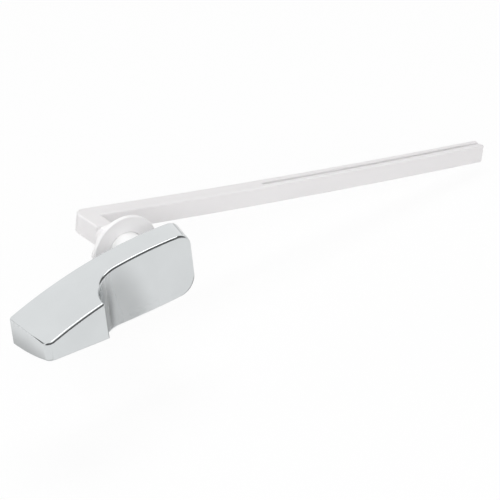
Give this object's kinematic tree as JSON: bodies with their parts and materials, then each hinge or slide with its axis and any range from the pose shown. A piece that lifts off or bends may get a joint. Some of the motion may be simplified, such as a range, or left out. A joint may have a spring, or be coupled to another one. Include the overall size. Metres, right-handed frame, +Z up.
{
  "type": "cistern lever",
  "caption": "Front-mounted cistern flush lever: plated handle with a deep thumb block, flanged bushing through the wall, lock nut, and a bent arm with an open slot for the chain.",
  "frame": {"origin": "on the shaft's axis, where the bushing's flange seats on the outside of the cistern wall", "axes": "+X along the level handle to the right, +Y through the wall into the cistern, +Z up"},
  "size_m": [0.2552, 0.0712, 0.0647],
  "materials": {
    "plated_handle": "polished chrome plating on moulded plastic",
    "white_bushing": "satin",
    "white_nut": "satin",
    "white_arm": "satin"
  },
  "bodies": {
    "bushing": {"bushing": "white_bushing"},
    "lever": {"handle": "plated_handle", "lever_arm": "white_arm"},
    "nut": {"lock_nut": "white_nut"}
  },
  "joints": [
    {"name": "lever_turn", "type": "hinge", "parent": "bushing", "child": "lever", "pos_m": [0, 0, 0], "axis": [0, -1, 0], "range_deg": [0, 32]},
    {"name": "nut_travel", "type": "slide", "parent": "bushing", "child": "nut", "axis": [0, 1, 0], "range_m": [-0.0059, 0.0012]}
  ]
}
